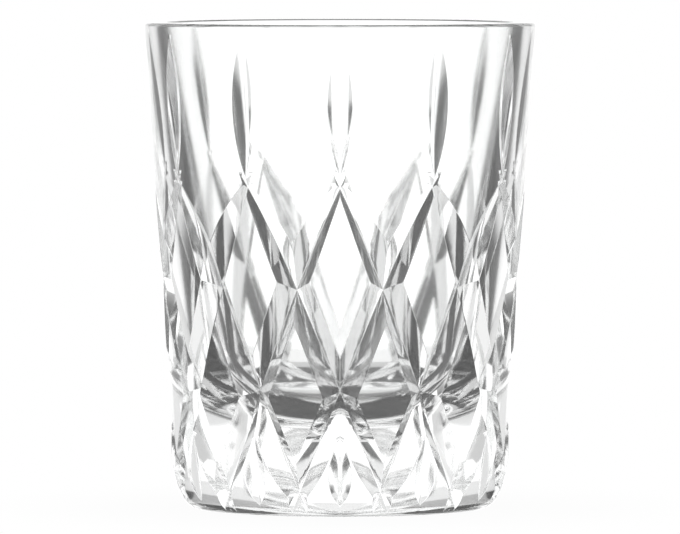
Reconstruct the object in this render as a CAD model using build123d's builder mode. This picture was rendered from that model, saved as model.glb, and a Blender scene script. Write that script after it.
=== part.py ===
from build123d import *
import os
from math import cos, radians, sin, sqrt, tan

# A cut-crystal whisky tumbler, blown and cut from one piece of glass.
# Millimetres and degrees, +Z up. The origin is the centre of the plane that it stands on.

# Outside of the blank
height = 100.0
foot_radius = 34.75  # where the wall stands upright, just above the heel
heel_height = 12.0  # the heel is a quarter ellipse from the foot ring up to the wall
heel_width = 5.25
waist_height = 24.2  # above this the wall is a straight cone
wall_taper = 3.9  # lean of that cone from upright
rim_rounding = 0.7

# Inside of the blank
rim_wall = 4.2
bowl_taper = 8.9
bowl_corner = 17.0
floor_height = 19.4
floor_dish = 2.2  # how far the middle of the floor lies below its edge

# Underside
ring_width = 3.0  # flat ring that touches the table
punt_depth = 0.8  # hollow inside that ring

# Cuts, each repeated round the glass
repeats = 12
cut_reach = 4.5  # how far a cutter's V stands out from its valley
olive_top = 97.7
olive_bottom = 69.0
olive_depth = 1.1
olive_opening = 68.8  # half the angle of the V
mitre_top = 70.0
mitre_crossing = 67.0  # height where the two hands of mitre first cross
mitre_fall = 20.7  # drop from one crossing to the next, half a repeat further round
mitre_depth = 3.1
mitre_opening = 48.5
mitre_low_tilt = -5.0  # lean of the V, which flattens the face above the valley
mitre_high_tilt = 14.0
mitre_low_level = 28.0  # the tilt grows from one level to the other
mitre_high_level = 60.0
mitre_wheel = 90.0  # radius of the wheel, which shapes the run-out at the top
toe_top = 17.2
toe_bottom = 2.5
toe_bottom_depth = 2.1  # below the upright line of the foot, so that it breaks out of the heel
toe_opening = 68.8
section_step = 4.0  # spacing of the sections along a cut

# Sizes that follow
pitch = 360.0 / repeats
waist_arc = (waist_height - heel_height) / sin(radians(wall_taper))
waist_radius = foot_radius + waist_arc * (1 - cos(radians(wall_taper)))
rim_radius = waist_radius + (height - waist_height) * tan(radians(wall_taper))
bore_radius = rim_radius - rim_wall
floor_radius = bore_radius - (height - floor_height) * tan(radians(bowl_taper))
ring_radius = foot_radius - heel_width


def wall_radius(z):
    """Radius of the uncut wall at height z; below the waist arc it stays upright."""
    if z >= waist_height:
        return waist_radius + (z - waist_height) * tan(radians(wall_taper))
    if z <= heel_height:
        return foot_radius
    return foot_radius + waist_arc - sqrt(waist_arc**2 - (z - heel_height) ** 2)


def levels(bottom, top):
    """Evenly spaced heights from bottom to top."""
    count = round((top - bottom) / section_step)
    return [bottom + (top - bottom) * i / count for i in range(count + 1)]


def vee_cutter(track, opening):
    """Solid that a V-edged wheel sweeps along a track of (height, turn, valley radius, tilt)."""
    with BuildPart() as cutter:
        for z, turn, valley, tilt in track:
            width_ahead = cut_reach * tan(radians(opening + tilt))
            width_behind = cut_reach * tan(radians(opening - tilt))
            with BuildSketch(Plane.XY.offset(z).rotated((0, 0, turn))):
                with BuildLine():
                    Polyline(
                        (valley, 0),
                        (valley + cut_reach, width_ahead),
                        (valley + cut_reach, -width_behind),
                        close=True,
                    )
                make_face()
        loft()
    return cutter.part


def olive_cutter():
    """Upright leaf-shaped cut below the rim."""
    middle = (olive_top + olive_bottom) / 2
    half_length = (olive_top - olive_bottom) / 2
    overrun = 2.0
    track = []
    for z in levels(olive_bottom - overrun, olive_top + overrun):
        depth = olive_depth * (1 - ((z - middle) / half_length) ** 2)
        track.append((z, 0, wall_radius(z) - depth, 0))
    return vee_cutter(track, olive_opening)


def mitre_tilt(z):
    """Lean of a mitre's V at height z; both of its faces lean by this much."""
    share = (z - mitre_low_level) / (mitre_high_level - mitre_low_level)
    return mitre_low_tilt + (mitre_high_tilt - mitre_low_tilt) * min(max(share, 0.0), 1.0)


def mitre_cutter():
    """Slanting cut that starts under an olive and runs down and round to the heel."""
    lean = radians(pitch / 2) * wall_radius(mitre_crossing - mitre_fall) / mitre_fall
    slant = sqrt(1 + lean**2)  # length along the cut for each millimetre of height
    run_out = sqrt(2 * mitre_wheel * mitre_depth) / slant
    full_depth_height = mitre_top - run_out
    track = []
    for z in levels(-2.0, mitre_top + 2.0):
        rise = max(0.0, z - full_depth_height) * slant
        depth = mitre_depth - rise**2 / (2 * mitre_wheel)
        turn = (mitre_crossing - z) / mitre_fall * pitch / 2
        track.append((z, turn, wall_radius(z) - depth, mitre_tilt(z)))
    return vee_cutter(track, mitre_opening)


def toe_cutter():
    """Short upright cut that breaks out through the heel."""
    slope = toe_bottom_depth / (toe_top - toe_bottom)
    track = []
    for z in (toe_bottom - 4.0, toe_top + 2.0):
        track.append((z, 0, foot_radius - (toe_top - z) * slope, 0))
    return vee_cutter(track, toe_opening)


olive = olive_cutter()
right_mitre = mitre_cutter()
left_mitre = mirror(right_mitre, about=Plane.XZ)
toe = toe_cutter()

with BuildPart() as tumbler:
    with BuildSketch(Plane.XZ) as section:
        with BuildLine():
            TangentArc((0, punt_depth), (ring_radius - ring_width, 0), tangent=(1, 0))
            Line((ring_radius - ring_width, 0), (ring_radius, 0))
            EllipticalCenterArc(
                (ring_radius, heel_height), heel_width, heel_height, start_angle=270, arc_size=90
            )
            TangentArc((foot_radius, heel_height), (waist_radius, waist_height), tangent=(0, 1))
            Polyline(
                (waist_radius, waist_height),
                (rim_radius, height),
                (bore_radius, height),
                (floor_radius, floor_height),
            )
            TangentArc(
                (0, floor_height - floor_dish), (floor_radius, floor_height), tangent=(1, 0)
            )
            Line((0, floor_height - floor_dish), (0, punt_depth))
        make_face()
        fillet(section.vertices().group_by(Axis.Y)[-1], rim_rounding)
        bowl_edge = section.vertices().sort_by_distance((floor_radius, floor_height))[0]
        fillet(bowl_edge, bowl_corner)
    revolve(axis=Axis.Z)
    with PolarLocations(0, repeats):
        add(olive, mode=Mode.SUBTRACT)
    with PolarLocations(0, repeats):
        add(right_mitre, mode=Mode.SUBTRACT)
    with PolarLocations(0, repeats):
        add(left_mitre, mode=Mode.SUBTRACT)
    with PolarLocations(0, repeats):
        add(toe, mode=Mode.SUBTRACT)

tumbler.part.label = "tumbler"
os.makedirs("parts", exist_ok=True)
export_step(tumbler.part, "parts/tumbler.step")
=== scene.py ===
import math

import bpy
import numpy as np
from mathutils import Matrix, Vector
from mathutils.geometry import delaunay_2d_cdt


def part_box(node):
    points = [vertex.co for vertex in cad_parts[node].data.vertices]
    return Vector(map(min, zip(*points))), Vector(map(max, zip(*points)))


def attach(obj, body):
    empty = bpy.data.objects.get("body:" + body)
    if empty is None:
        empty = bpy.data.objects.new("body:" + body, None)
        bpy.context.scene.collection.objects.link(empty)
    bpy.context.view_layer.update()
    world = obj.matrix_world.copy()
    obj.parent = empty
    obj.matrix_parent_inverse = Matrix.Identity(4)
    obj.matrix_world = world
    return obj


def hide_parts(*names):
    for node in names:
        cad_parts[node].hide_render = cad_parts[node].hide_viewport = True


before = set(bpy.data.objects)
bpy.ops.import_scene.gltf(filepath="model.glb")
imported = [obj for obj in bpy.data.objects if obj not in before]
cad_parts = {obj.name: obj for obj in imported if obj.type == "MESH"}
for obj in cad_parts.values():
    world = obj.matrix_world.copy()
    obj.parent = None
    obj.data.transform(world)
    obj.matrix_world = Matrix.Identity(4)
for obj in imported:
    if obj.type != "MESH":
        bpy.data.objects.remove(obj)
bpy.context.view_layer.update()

GLASS_LOW, GLASS_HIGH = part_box("tumbler")

# ---------------------------------------------------------------- shape, in millimetres
HEIGHT = 100.0
FOOT_RADIUS = 34.75
HEEL_HEIGHT = 12.0
HEEL_WIDTH = 5.25
WAIST_HEIGHT = 24.2
WALL_TAPER = math.radians(3.9)
RIM_ROUNDING = 0.7
RIM_WALL = 4.2
BOWL_TAPER = math.radians(8.9)
BOWL_CORNER = 17.0
FLOOR_HEIGHT = 19.4
FLOOR_DISH = 2.2
RING_WIDTH = 3.0
PUNT_DEPTH = 0.8

REPEATS = 12
OLIVE_TOP = 97.7
OLIVE_BOTTOM = 69.0
OLIVE_DEPTH = 1.1
OLIVE_OPENING = math.radians(68.8)
MITRE_TOP = 70.0
MITRE_CROSSING = 67.0
MITRE_FALL = 20.7
MITRE_DEPTH = 3.1
MITRE_OPENING = math.radians(48.5)  # half the angle of the V
MITRE_LOW_TILT = math.radians(-5.0)  # lean of the V, which flattens the face above the valley
MITRE_HIGH_TILT = math.radians(14.0)
MITRE_LOW_LEVEL = 28.0  # the tilt grows from one level to the other
MITRE_HIGH_LEVEL = 60.0
MITRE_WHEEL = 90.0
TOE_TOP = 17.2
TOE_BOTTOM = 2.5
TOE_BOTTOM_DEPTH = 2.1
TOE_OPENING = math.radians(68.8)

EDGE_SOFTNESS = 0.045  # how deep polishing has softened a ridge
VALLEY_SOFTNESS = 0.05  # half the width of the rounded bottom of a cut

# Sizes that follow
MM = (GLASS_HIGH.z - GLASS_LOW.z) / HEIGHT  # metres in one millimetre of the description
PITCH = 2 * math.pi / REPEATS
HALF_PITCH = PITCH / 2
WAIST_ARC = (WAIST_HEIGHT - HEEL_HEIGHT) / math.sin(WALL_TAPER)
WAIST_RADIUS = FOOT_RADIUS + WAIST_ARC * (1 - math.cos(WALL_TAPER))
RIM_RADIUS = WAIST_RADIUS + (HEIGHT - WAIST_HEIGHT) * math.tan(WALL_TAPER)
BORE_RADIUS = RIM_RADIUS - RIM_WALL
RING_RADIUS = FOOT_RADIUS - HEEL_WIDTH
CUT_REGION_TOP = HEIGHT - RIM_ROUNDING - RIM_ROUNDING * math.sin(WALL_TAPER)
MITRE_SLANT = math.hypot(1.0, HALF_PITCH * (FOOT_RADIUS + WAIST_RADIUS) / 2 / MITRE_FALL)
MITRE_RUN_OUT = math.sqrt(2 * MITRE_WHEEL * MITRE_DEPTH) / MITRE_SLANT

# Glass
GLASS_IOR = 1.52
GLASS_TINT = (0.995, 1.0, 0.998, 1.0)
POLISH_WAVE = 4e-6  # depth in metres of the broad waves of fire polishing
POLISH_WAVE_SCALE = 90.0  # noise features in a metre
POLISH_RIPPLE = 4e-7  # the finer ripple that the cutting wheel leaves
POLISH_RIPPLE_SCALE = 420.0
HAZE_SCALE = 60.0
HAZE_FROM = 0.35  # the noise between these two values turns into roughness
HAZE_TO = 0.75
HAZE_LEAST = 0.05  # roughness where the polish is best
HAZE_MOST = 0.1

# Light
LIGHT_BOUNCES = 32
ROOM_LIGHT = 0.1
CARD_EDGE = 1.0  # degrees over which a card fades out on either side of its edge
# Each card: degrees aside from and to, degrees of rise from and to, and brightness. A bound just
# past 0, 90 or 180 leaves no soft edge at that end. A later card covers the earlier ones.
CARDS = [
    (80, 181, -2, 91, 1.2),  # the lit room behind the camera and to its sides
    (110, 181, -91, -2, 0.65),  # the table under the camera
    (-1, 25, -27, -18, 0.6),  # the sweep behind the glass, brightest round the line of sight
    (-1, 25, -18, -11, 1.0),
    (-1, 25, -11, 18, 1.3),
    (-1, 31, 18, 27, 0.9),
    (-1, 20, 27, 60, 0.5),
    (25, 80, -6, 18, 0.8),  # paler wings beside the sweep
]

# Camera, in heights of the glass
CAMERA_AIM = 0.495
CAMERA_DISTANCE = 18.7
CAMERA_RISE = 0.805  # of the camera above the point that it looks at
PICTURE_WIDTH = 1.4006
SENSOR_WIDTH = 36.0  # millimetres
CLIP_END = 50.0  # metres

# Floor, in metres
FLOOR_RADIUS = 0.3
FLOOR_SIDES = 96
FLOOR_GAP = 5e-5  # below the foot, so that the two faces don't fight
# Painted shadow on the floor round the foot: how far it reaches and how much it darkens the white
PAINTED_SHADOW_RADIUS = 0.09
PAINTED_SHADOW_DEPTH = 0.5

# Mesh density, in millimetres or numbers of points
COLUMNS = 11  # across half a repeat
LEVEL_STEP = 1.1
HEEL_STEP = 0.4  # finer, because the cuts end there on a curve
HEEL_LEVELS = 12
RIM_POINTS = 9  # on each of the rim's two arcs
BORE_POINTS = 34
CORNER_POINTS = 26
DISH_POINTS = 12  # over the bowl's floor and over the hollow under the foot
MEAN_RADIUS = 37.0  # turns an angle into a length when points are spread over the wall
LINE_CLEARANCE = 0.45  # points of the grid nearer than this to a line of the pattern are left out
TOP_CLEARANCE = 0.5  # between the grid's last level and the top row
LINE_MARGIN = 0.5  # how far lines of the pattern run past the edges of the half repeat
NORMAL_STEP = 0.004
WELD_GRAIN = 1e-4  # points nearer than this are one
TURN_GRAIN = 1e-6  # radians
LEAST_OFFSET = 1e-9  # radians, so that a sharp valley doesn't divide by nought
RIDGE_SLOPE = 0.36  # depth of a ridge's rounding over its reach to either side
RIDGE_SHIFTS = (-1.0, -0.5, 0.0, 0.5, 1.0)  # lines beside a ridge, in reaches of its rounding
VALLEY_SHIFTS = (-2.4, -1.0, 0.0, 1.0, 2.4)  # lines beside a valley, in halves of its rounding
RIDGE_SAMPLES = 14
RIDGE_START = 3  # samples at the crossing, kept even where the cuts are clear of the blank
RIDGE_RANGE = 6.0  # height searched above and below the crossing
RIDGE_SPREAD = 1.6  # how far round a ridge is followed, in widths of a face
HALVINGS = 30
CORNER_ROUNDS = 20  # rounds in which the bowl's corner settles between wall and dish


def wall_radius(z):
    """Radius of the uncut wall; below the waist arc it stays upright."""
    cone = WAIST_RADIUS + (z - WAIST_HEIGHT) * math.tan(WALL_TAPER)
    above_heel = np.clip(z - HEEL_HEIGHT, 0.0, WAIST_HEIGHT - HEEL_HEIGHT)
    bend = FOOT_RADIUS + WAIST_ARC - np.sqrt(WAIST_ARC**2 - above_heel**2)
    return np.where(z >= WAIST_HEIGHT, cone, bend)


def blank_radius(z):
    """Radius of the whole uncut outside, with the elliptical heel."""
    drop = np.clip((HEEL_HEIGHT - z) / HEEL_HEIGHT, 0.0, 1.0)
    return wall_radius(z) - HEEL_WIDTH * (1 - np.sqrt(1 - drop**2))


def olive_valley(z):
    middle, half = (OLIVE_TOP + OLIVE_BOTTOM) / 2, (OLIVE_TOP - OLIVE_BOTTOM) / 2
    return wall_radius(z) - OLIVE_DEPTH * (1 - ((z - middle) / half) ** 2)


def mitre_valley(z):
    rise = np.maximum(0.0, z - (MITRE_TOP - MITRE_RUN_OUT)) * MITRE_SLANT
    return wall_radius(z) - MITRE_DEPTH + rise**2 / (2 * MITRE_WHEEL)


def mitre_tilt(z):
    share = (z - MITRE_LOW_LEVEL) / (MITRE_HIGH_LEVEL - MITRE_LOW_LEVEL)
    return MITRE_LOW_TILT + (MITRE_HIGH_TILT - MITRE_LOW_TILT) * np.clip(share, 0.0, 1.0)


def mitre_upper(z):
    return MITRE_OPENING + mitre_tilt(z)


def mitre_lower(z):
    return MITRE_OPENING - mitre_tilt(z)


def olive_face(z):
    return np.full_like(z, OLIVE_OPENING)


def toe_face(z):
    return np.full_like(z, TOE_OPENING)


def toe_valley(z):
    return FOOT_RADIUS - (TOE_TOP - z) * TOE_BOTTOM_DEPTH / (TOE_TOP - TOE_BOTTOM)


def upright(z):
    return np.zeros_like(z)


def slanting(hand, start):
    """Turn of the valley of a mitre of one hand that starts at a given leaf cut."""
    return lambda z: start * PITCH + hand * (MITRE_CROSSING - z) / MITRE_FALL * HALF_PITCH


def mitre(hand, start):
    faces = (mitre_upper, mitre_lower) if hand == 1 else (mitre_lower, mitre_upper)
    return (slanting(hand, start), mitre_valley, *faces)


# Every cut that reaches the half repeat from 0 to HALF_PITCH: turn, valley radius, and the
# opening of its faces on the sides of growing and of falling turn
OLIVE = (upright, olive_valley, olive_face, olive_face)
TOE = (upright, toe_valley, toe_face, toe_face)
MITRES = [mitre(1, 0), mitre(1, -1), mitre(-1, 0), mitre(-1, 1), mitre(-1, 2)]
CUTS = [OLIVE, TOE] + MITRES


def cut_radius(cut, turn, z, softness=0.0):
    """Radius of the two flat faces of a V cut, which are straight in every level section."""
    centre, valley, ahead, behind = cut
    offset = turn - centre(z)
    away = np.sqrt(offset**2 + (softness / MEAN_RADIUS) ** 2)
    side = np.clip(offset / np.maximum(away, LEAST_OFFSET), -1.0, 1.0)
    slope = ((1 + side) / np.tan(ahead(z)) + (1 - side) / np.tan(behind(z))) / 2
    away = np.minimum(away, PITCH / 2)  # further round than this, no cut reaches the glass
    return valley(z) / (np.cos(away) - np.sin(away) * slope)


def soft_min(a, b, softness):
    near = np.maximum(softness - np.abs(a - b), 0.0) / softness
    return np.minimum(a, b) - near**2 * softness / 4


def outer_radius(turn, z):
    """Radius of the finished outside: the blank less every cut, with softened edges."""
    radius = blank_radius(z)
    for cut in CUTS:
        radius = soft_min(radius, cut_radius(cut, turn, z, VALLEY_SOFTNESS), EDGE_SOFTNESS)
    return radius


def outer_normal(turn, z):
    """Outward normal as (radial, round, up) parts, from central differences."""
    radius = outer_radius(turn, z)
    side = NORMAL_STEP / MEAN_RADIUS
    slope_round = (outer_radius(turn + side, z) - outer_radius(turn - side, z)) / (2 * side)
    low, high = np.maximum(z - NORMAL_STEP, 0.0), z + NORMAL_STEP
    slope_up = (outer_radius(turn, high) - outer_radius(turn, low)) / (high - low)
    normal = np.stack([np.ones_like(z), -slope_round / radius, -slope_up], axis=1)
    return normal / np.linalg.norm(normal, axis=1)[:, None]


def edge_turn(cut, z, side):
    """Angular width of one face of a cut at the blank's surface; nan where it is clear."""
    _, valley, ahead, behind = cut
    opening = ahead(z) if side > 0 else behind(z)
    ratio = valley(z) / blank_radius(z) * np.sin(opening)
    lean = math.pi / 2 - opening
    width = np.arccos(np.clip(ratio, -1.0, 1.0)) - lean
    return np.where((ratio < 1.0) & (width > 0.0), width, np.nan)


def is_exposed(turn, z, own):
    """True where no cut other than its own is deeper than the surface the line lies on."""
    here = np.minimum(cut_radius(own, turn, z), blank_radius(z))
    others = [cut_radius(cut, turn, z) for cut in CUTS if cut is not own]
    return np.min(others, axis=0) >= here - 2 * EDGE_SOFTNESS


def line_runs(turn, z, keep):
    """Splits a sampled line into its unbroken kept runs."""
    runs, run = [], []
    for t, h, k in zip(turn, z, keep):
        if k:
            run.append((t, h))
        else:
            if len(run) > 1:
                runs.append(run)
            run = []
    if len(run) > 1:
        runs.append(run)
    return runs


def ridge_shifts():
    return [share * EDGE_SOFTNESS / RIDGE_SLOPE for share in RIDGE_SHIFTS]


def valley_shifts():
    return [share * VALLEY_SOFTNESS for share in VALLEY_SHIFTS]


def ridge_between(first, second, turn, height, sign):
    """Line where two crossing cuts meet beside their crossing, found by halving."""
    width = float(edge_turn(first, np.array([height]), sign)[0])
    reach = np.linspace(-LINE_MARGIN / MEAN_RADIUS, RIDGE_SPREAD * width, RIDGE_SAMPLES)
    turns = turn + sign * reach
    low = np.full(RIDGE_SAMPLES, height - RIDGE_RANGE)
    high = np.full(RIDGE_SAMPLES, height + RIDGE_RANGE)
    rising = cut_radius(first, turns, high) > cut_radius(second, turns, high)
    for _ in range(HALVINGS):
        middle = (low + high) / 2
        above = (cut_radius(first, turns, middle) > cut_radius(second, turns, middle)) == rising
        low, high = np.where(above, low, middle), np.where(above, middle, high)
    in_glass = cut_radius(first, turns, middle) < blank_radius(middle)
    keep = in_glass | (np.arange(RIDGE_SAMPLES) < RIDGE_START)
    return turns[keep], middle[keep]


def shifted_lines(cut, z):
    """The valley and the two edges of one cut, each with neighbours that hold its rounding."""
    margin = LINE_MARGIN / MEAN_RADIUS
    middle = cut[0](z)
    lines = []
    for side in (-1, 0, 1):
        width = edge_turn(cut, z, side)
        path = middle + side * np.nan_to_num(width, nan=0.0)
        inside = (path > -margin) & (path < HALF_PITCH + margin) & ~np.isnan(width)
        keep = inside & is_exposed(path, z, cut)
        for shift in valley_shifts() if side == 0 else ridge_shifts():
            lines += line_runs(path + shift / MEAN_RADIUS, z, keep)
    return lines


def crossing_ridges():
    """Ridges that start where two mitres cross, on either edge of the half repeat."""
    lines = []
    for first, second, turn, height, sign in (
        (mitre(1, 0), mitre(-1, 1), HALF_PITCH, MITRE_CROSSING - MITRE_FALL, -1),
        (mitre(1, -1), mitre(-1, 1), 0.0, MITRE_CROSSING - 2 * MITRE_FALL, 1),
        (mitre(1, 0), mitre(-1, 0), 0.0, MITRE_CROSSING, 1),
    ):
        turns, heights = ridge_between(first, second, turn, height, sign)
        for shift in ridge_shifts():
            lines.append(list(zip(turns, heights + shift)))
    return lines


def border_lines():
    """Upright lines just inside the two edges of the half repeat, where its mirror image joins."""
    levels = np.arange(HEEL_STEP, MITRE_TOP, LEVEL_STEP)
    lines = []
    for turn, sign in ((0.0, 1), (HALF_PITCH, -1)):
        for shift in ridge_shifts():
            if shift > 0:
                side = turn + sign * shift / MEAN_RADIUS
                lines.append([(side, height) for height in levels])
    return lines


def feature_lines():
    """Lines of the cut pattern over half a repeat."""
    heel = np.arange(HEEL_STEP, HEEL_HEIGHT, HEEL_STEP)
    wall = np.arange(HEEL_HEIGHT, CUT_REGION_TOP, LEVEL_STEP)
    z = np.concatenate([heel, wall])
    lines = []
    for cut in CUTS:
        lines += shifted_lines(cut, z)
    return lines + crossing_ridges() + border_lines()


def heel_levels():
    """Heights that follow the heel's ellipse evenly, so the curve under the glass is round."""
    angles = np.linspace(0.0, math.pi / 2, HEEL_LEVELS)
    return HEEL_HEIGHT * (1 - np.cos(angles))


def wall_triangles():
    """Half a repeat of the outside as (turn, z) points and triangles."""
    columns = np.linspace(0.0, HALF_PITCH, COLUMNS + 1)
    levels = np.concatenate(
        [heel_levels()[:-1], np.arange(HEEL_HEIGHT, CUT_REGION_TOP - TOP_CLEARANCE, LEVEL_STEP)]
    )
    levels = np.append(levels, CUT_REGION_TOP)
    lines = feature_lines()
    marks = np.array([p for line in lines for p in line])
    points, edges = [], []

    def add_line(line):
        start = len(points)
        points.extend((t * MEAN_RADIUS, h) for t, h in line)
        edges.extend((i, i + 1) for i in range(start, start + len(line) - 1))

    for height in (levels[0], levels[-1]):
        add_line([(t, height) for t in columns])
    for turn in (0.0, HALF_PITCH):
        add_line([(turn, h) for h in levels])
    for line in lines:
        add_line(line)
    for height in levels[1:-1]:
        for turn in columns[1:-1]:
            gap = np.hypot((marks[:, 0] - turn) * MEAN_RADIUS, marks[:, 1] - height)
            if gap.min() > LINE_CLEARANCE:
                points.append((turn * MEAN_RADIUS, height))
    found = delaunay_2d_cdt([Vector(p) for p in points], edges, [], 0, WELD_GRAIN, False)
    flat = np.array([tuple(v) for v in found[0]])
    faces = np.array([f for f in found[2]])
    centre = flat[faces].mean(axis=1)
    inside = (centre[:, 0] > 0) & (centre[:, 0] < HALF_PITCH * MEAN_RADIUS)
    inside &= (centre[:, 1] > levels[0]) & (centre[:, 1] < levels[-1])
    faces = faces[inside]
    used = np.unique(faces)
    order = np.full(len(flat), -1)
    order[used] = np.arange(len(used))
    flat = flat[used]
    turn = flat[:, 0] / MEAN_RADIUS
    turn[np.abs(turn) < TURN_GRAIN] = 0.0
    turn[np.abs(turn - HALF_PITCH) < TURN_GRAIN] = HALF_PITCH
    return turn, flat[:, 1], order[faces]


def arc(centre, radius, start, end, count):
    """Points and outward normals of an arc in the (radius, height) section."""
    angles = np.linspace(start, end, count)
    normals = np.stack([np.cos(angles), np.sin(angles)], axis=1)
    return np.array(centre) + radius * normals, normals


def bore_radius(z):
    """Radius of the straight part of the bowl's wall."""
    return BORE_RADIUS - (HEIGHT - z) * math.tan(BOWL_TAPER)


def rim_arcs():
    """The two arcs that round the rim, the outside one first."""
    centre = HEIGHT - RIM_ROUNDING
    outer_line = WAIST_RADIUS + (centre - WAIST_HEIGHT) * math.tan(WALL_TAPER)
    outer_centre = outer_line - RIM_ROUNDING / math.cos(WALL_TAPER)
    inner_centre = bore_radius(centre) + RIM_ROUNDING / math.cos(BOWL_TAPER)
    top = math.pi / 2
    outer = arc((outer_centre, centre), RIM_ROUNDING, -WALL_TAPER, top, RIM_POINTS)
    inner = arc((inner_centre, centre), RIM_ROUNDING, top, math.pi - BOWL_TAPER, RIM_POINTS)
    return outer, inner


def bowl_bottom():
    """The bowl's rounded corner, then its dished floor as far as the axis."""
    floor_edge = bore_radius(FLOOR_HEIGHT)
    dish = (floor_edge**2 + FLOOR_DISH**2) / (2 * FLOOR_DISH)
    dish_centre = FLOOR_HEIGHT - FLOOR_DISH + dish
    corner_height = FLOOR_HEIGHT + BOWL_CORNER
    for _ in range(CORNER_ROUNDS):
        corner_radius = bore_radius(corner_height) - BOWL_CORNER / math.cos(BOWL_TAPER)
        corner_height = dish_centre - math.sqrt((dish - BOWL_CORNER) ** 2 - corner_radius**2)
    floor_lean = math.asin(corner_radius / (dish - BOWL_CORNER))
    end = -math.pi / 2 + floor_lean
    points, normals = arc(
        (corner_radius, corner_height), BOWL_CORNER, -BOWL_TAPER, end, CORNER_POINTS
    )
    # The corner is concave, so its normals point back to its centre.
    corner = (points, -normals)
    lean = np.linspace(floor_lean, 0.0, DISH_POINTS)[1:]
    floor_points = np.stack([dish * np.sin(lean), dish_centre - dish * np.cos(lean)], axis=1)
    floor_normals = np.stack([-np.sin(lean), np.cos(lean)], axis=1)
    return corner, (floor_points, floor_normals)


def inner_profile():
    """Section of the rim, bowl and floor, from the outside of the rim to the axis."""
    outer, inner = rim_arcs()
    corner, floor = bowl_bottom()
    top, bottom = inner[0][-1], corner[0][0]
    steps = np.linspace(0.0, 1.0, BORE_POINTS)[1:-1, None]
    bore_points = top + (bottom - top) * steps
    bore_normals = np.tile(inner[1][-1], (len(bore_points), 1))
    parts = [outer, inner, (bore_points, bore_normals), corner, floor]
    return np.concatenate([p for p, _ in parts]), np.concatenate([n for _, n in parts])


def under_profile():
    """Section of the flat foot ring and the shallow hollow inside it, out to in."""
    hollow_edge = RING_RADIUS - RING_WIDTH
    dome = (hollow_edge**2 + PUNT_DEPTH**2) / (2 * PUNT_DEPTH)
    lean = np.linspace(math.asin(hollow_edge / dome), 0.0, DISH_POINTS)
    hollow = np.stack([dome * np.sin(lean), PUNT_DEPTH - dome + dome * np.cos(lean)], axis=1)
    hollow_normals = np.stack([-np.sin(lean), -np.cos(lean)], axis=1)
    ring = np.array([(RING_RADIUS, 0.0), (RING_RADIUS - RING_WIDTH / 2, 0.0)])
    ring_normals = np.array([(0.0, -1.0), (0.0, -1.0)])
    return np.concatenate([ring, hollow]), np.concatenate([ring_normals, hollow_normals])


def revolved_triangles(points, normals, flip):
    """Half a repeat of a surface of revolution as points, normals and triangles."""
    columns = np.linspace(0.0, HALF_PITCH, COLUMNS + 1)
    turn = np.tile(columns, len(points))
    radius, height = (np.repeat(points[:, i], len(columns)) for i in (0, 1))
    radial, up = (np.repeat(normals[:, i], len(columns)) for i in (0, 1))
    faces = []
    for row in range(len(points) - 1):
        for column in range(COLUMNS):
            a = row * len(columns) + column
            b, c = a + len(columns), a + 1
            d = b + 1
            faces += [(a, b, d), (a, d, c)] if flip else [(a, d, b), (a, c, d)]
    return turn, radius, height, radial, up, np.array(faces)


def cylinder_to_space(turn, radius, height, normal):
    """Cartesian points and normals from cylindrical ones."""
    cos, sin = np.cos(turn), np.sin(turn)
    points = np.stack([radius * cos, radius * sin, height], axis=1)
    radial, around, up = normal.T
    normals = np.stack([radial * cos - around * sin, radial * sin + around * cos, up], axis=1)
    return points, normals


def half_repeat():
    """All surfaces of half a repeat, in cylindrical coordinates, ready to be copied round."""
    turn, height, faces = wall_triangles()
    sheets = [(turn, outer_radius(turn, height), height, outer_normal(turn, height), faces)]
    for profile, flip in ((inner_profile(), False), (under_profile(), True)):
        turn, radius, height, radial, up, faces = revolved_triangles(*profile, flip)
        normal = np.stack([radial, np.zeros_like(radial), up], axis=1)
        sheets.append((turn, radius, height, normal, faces))
    start = 0
    stacked = [[], [], [], [], []]
    for turn, radius, height, normal, faces in sheets:
        for pile, part in zip(stacked, (turn, radius, height, normal, faces + start)):
            pile.append(part)
        start += len(turn)
    return [np.concatenate(pile) for pile in stacked]


def welded(points, normals, faces):
    """Joins points that share a place, averages their normals, drops collapsed faces."""
    keys = np.round(points / WELD_GRAIN).astype(np.int64)
    _, first, same = np.unique(keys, axis=0, return_index=True, return_inverse=True)
    same = same.reshape(-1)
    summed = np.zeros((len(first), 3))
    np.add.at(summed, same, normals)
    summed /= np.linalg.norm(summed, axis=1)[:, None]
    faces = same[faces]
    a, b, c = faces.T
    return points[first], summed, faces[(a != b) & (b != c) & (c != a)]


def glass_mesh():
    """The whole tumbler as one closed mesh with the true surface normals."""
    turn, radius, height, normal, faces = half_repeat()
    all_points, all_normals, all_faces = [], [], []
    for k in range(REPEATS):
        for hand in (1, -1):
            mirrored = normal * np.array([1, hand, 1])
            points, normals = cylinder_to_space(k * PITCH + hand * turn, radius, height, mirrored)
            order = faces if hand == 1 else faces[:, ::-1]
            all_faces.append(order + len(turn) * len(all_points))
            all_points.append(points)
            all_normals.append(normals)
    points, normals, faces = welded(
        np.concatenate(all_points), np.concatenate(all_normals), np.concatenate(all_faces)
    )
    mesh = bpy.data.meshes.new("cut_crystal")
    mesh.from_pydata((points * MM + np.array([0, 0, GLASS_LOW.z])).tolist(), [], faces.tolist())
    mesh.shade_smooth()
    mesh.normals_split_custom_set_from_vertices(normals.tolist())
    return mesh


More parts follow.
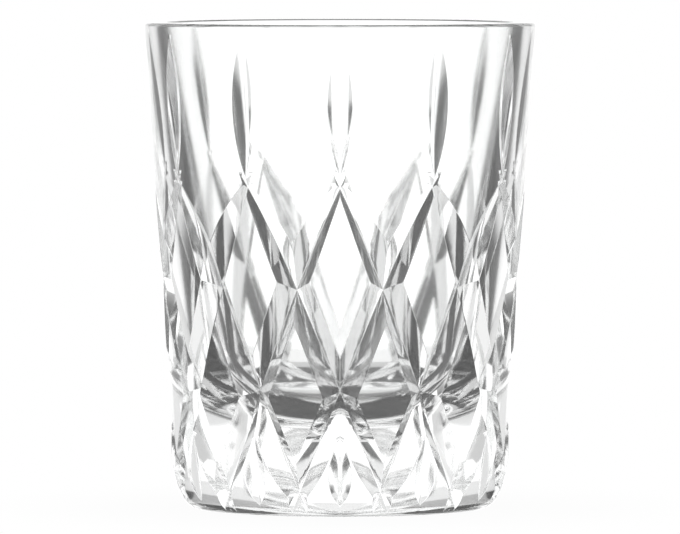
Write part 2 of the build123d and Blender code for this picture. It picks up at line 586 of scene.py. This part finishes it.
def glass_material():
    """Clear crystal with a very faint tint, slightly wavy and hazy from its polishing."""
    material = bpy.data.materials.new("crystal")
    material.use_nodes = True
    nodes, links = material.node_tree.nodes, material.node_tree.links
    shader = nodes["Principled BSDF"]
    shader.inputs["Base Color"].default_value = GLASS_TINT
    shader.inputs["IOR"].default_value = GLASS_IOR
    shader.inputs["Transmission Weight"].default_value = 1.0
    place = nodes.new("ShaderNodeTexCoord").outputs["Object"]

    def noise(scale, detail):
        node = nodes.new("ShaderNodeTexNoise")
        node.inputs["Scale"].default_value = scale
        node.inputs["Detail"].default_value = detail
        links.new(place, node.inputs["Vector"])
        return node.outputs["Fac"]

    shape = None
    for scale, detail, depth in (
        (POLISH_WAVE_SCALE, 1.0, POLISH_WAVE),
        (POLISH_RIPPLE_SCALE, 2.0, POLISH_RIPPLE),
    ):
        bump = nodes.new("ShaderNodeBump")
        bump.inputs["Distance"].default_value = depth
        bump.inputs["Strength"].default_value = 1.0
        links.new(noise(scale, detail), bump.inputs["Height"])
        if shape:
            links.new(shape, bump.inputs["Normal"])
        shape = bump.outputs["Normal"]
    links.new(shape, shader.inputs["Normal"])

    # Hand polishing leaves some places a touch less clear
    haze = nodes.new("ShaderNodeMapRange")
    haze.inputs["From Min"].default_value = HAZE_FROM
    haze.inputs["From Max"].default_value = HAZE_TO
    haze.inputs["To Min"].default_value = HAZE_LEAST
    haze.inputs["To Max"].default_value = HAZE_MOST
    links.new(noise(HAZE_SCALE, 4.0), haze.inputs["Value"])
    links.new(haze.outputs["Result"], shader.inputs["Roughness"])
    return material


def add_camera():
    """A long lens, level with the glass but for a slight look down on it."""
    height = GLASS_HIGH.z - GLASS_LOW.z
    aim = Vector((0.0, 0.0, GLASS_LOW.z + CAMERA_AIM * height))
    data = bpy.data.cameras.new("camera")
    camera = bpy.data.objects.new("camera", data)
    bpy.context.scene.collection.objects.link(camera)
    camera.location = aim + Vector((0.0, -CAMERA_DISTANCE * height, CAMERA_RISE * height))
    view_line = aim - camera.location
    camera.rotation_euler = view_line.to_track_quat("-Z", "Y").to_euler()
    data.sensor_width = SENSOR_WIDTH
    data.lens = data.sensor_width * view_line.length / (PICTURE_WIDTH * height)
    data.clip_end = CLIP_END
    bpy.context.scene.camera = camera


def studio_world():
    """Light that follows the camera: a dim room with the cards in it, and pure white behind."""
    world = bpy.data.worlds.new("studio")
    world.use_nodes = True
    nodes, links = world.node_tree.nodes, world.node_tree.links

    def math_node(operation, first, second=None):
        node = nodes.new("ShaderNodeMath")
        node.operation = operation
        for socket, value in zip(node.inputs, (first, second)):
            if isinstance(value, (int, float)):
                socket.default_value = value
            elif value is not None:
                links.new(value, socket)
        return node.outputs["Value"]

    direction = nodes.new("ShaderNodeSeparateXYZ")
    links.new(nodes.new("ShaderNodeTexCoord").outputs["Camera"], direction.inputs["Vector"])
    right, up, ahead = (direction.outputs[axis] for axis in "XYZ")
    aside = math_node("ABSOLUTE", math_node("ARCTAN2", right, ahead))
    aside = math_node("MULTIPLY", aside, 180 / math.pi)
    rise = math_node("MULTIPLY", math_node("ARCSINE", up), 180 / math.pi)

    def beyond(value, edge):
        """One past an edge given in degrees, nought before it, with a soft step between."""
        step = nodes.new("ShaderNodeMapRange")
        step.interpolation_type = "SMOOTHSTEP"
        step.inputs["From Min"].default_value = edge - CARD_EDGE
        step.inputs["From Max"].default_value = edge + CARD_EDGE
        links.new(value, step.inputs["Value"])
        return step.outputs["Result"]

    level = ROOM_LIGHT
    for near, far, bottom, top, brightness in CARDS:
        across = math_node("SUBTRACT", beyond(aside, near), beyond(aside, far))
        along = math_node("SUBTRACT", beyond(rise, bottom), beyond(rise, top))
        cover = math_node("MULTIPLY", across, along)
        kept = math_node("MULTIPLY", level, math_node("SUBTRACT", 1.0, cover))
        level = math_node("ADD", kept, math_node("MULTIPLY", cover, brightness))

    seen = nodes.new("ShaderNodeLightPath").outputs["Is Camera Ray"]
    show = nodes.new("ShaderNodeMix")
    show.data_type = "RGBA"
    links.new(seen, show.inputs["Factor"])
    links.new(level, show.inputs["A"])
    show.inputs["B"].default_value = (1.0, 1.0, 1.0, 1.0)
    links.new(show.outputs["Result"], nodes["Background"].inputs["Color"])
    return world


def floor_material():
    """White, with a painted soft shadow round the foot that grows as the view rises."""
    material = bpy.data.materials.new("floor")
    material.use_nodes = True
    nodes, links = material.node_tree.nodes, material.node_tree.links
    nodes.clear()
    surface = nodes.new("ShaderNodeNewGeometry")
    distance = nodes.new("ShaderNodeVectorMath")
    distance.operation = "LENGTH"
    links.new(surface.outputs["Position"], distance.inputs[0])
    # Painted shadow: the floor's glow dims towards the foot, more so as the view looks down on it
    painted_shadow = nodes.new("ShaderNodeMapRange")
    painted_shadow.interpolation_type = "SMOOTHSTEP"
    painted_shadow.inputs["From Min"].default_value = PAINTED_SHADOW_RADIUS
    painted_shadow.inputs["From Max"].default_value = 0.0
    links.new(distance.outputs["Value"], painted_shadow.inputs["Value"])
    facing = nodes.new("ShaderNodeVectorMath")
    facing.operation = "DOT_PRODUCT"
    links.new(surface.outputs["Incoming"], facing.inputs[0])
    links.new(surface.outputs["Normal"], facing.inputs[1])
    painted_shadow_strength = nodes.new("ShaderNodeMath")
    painted_shadow_strength.operation = "MULTIPLY"
    links.new(painted_shadow.outputs["Result"], painted_shadow_strength.inputs[0])
    links.new(facing.outputs["Value"], painted_shadow_strength.inputs[1])
    white = nodes.new("ShaderNodeMapRange")
    white.inputs["To Min"].default_value = 1.0
    white.inputs["To Max"].default_value = 1.0 - PAINTED_SHADOW_DEPTH
    links.new(painted_shadow_strength.outputs["Value"], white.inputs["Value"])
    glow = nodes.new("ShaderNodeEmission")
    links.new(white.outputs["Result"], glow.inputs["Strength"])
    links.new(glow.outputs["Emission"], nodes.new("ShaderNodeOutputMaterial").inputs["Surface"])
    return material


def add_floor():
    """Round floor that the camera sees, but that doesn't show through the glass."""
    angles = [2 * math.pi * k / FLOOR_SIDES for k in range(FLOOR_SIDES)]
    level = GLASS_LOW.z - FLOOR_GAP
    corners = [(FLOOR_RADIUS * math.cos(a), FLOOR_RADIUS * math.sin(a), level) for a in angles]
    mesh = bpy.data.meshes.new("floor")
    mesh.from_pydata(corners, [], [list(range(FLOOR_SIDES))])
    mesh.materials.append(floor_material())
    floor = bpy.data.objects.new("floor", mesh)
    bpy.context.scene.collection.objects.link(floor)
    floor.visible_transmission = False
    floor.visible_glossy = False
    floor.visible_diffuse = False
    floor.visible_shadow = False


glass = bpy.data.objects.new("cut_crystal_glass", glass_mesh())
bpy.context.scene.collection.objects.link(glass)
glass.data.materials.append(glass_material())
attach(glass, "root")
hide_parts("tumbler")

add_camera()
scene = bpy.context.scene
scene.world = studio_world()
scene.view_settings.view_transform = "Standard"
scene.cycles.max_bounces = LIGHT_BOUNCES
scene.cycles.transmission_bounces = LIGHT_BOUNCES
scene.cycles.glossy_bounces = LIGHT_BOUNCES
add_floor()
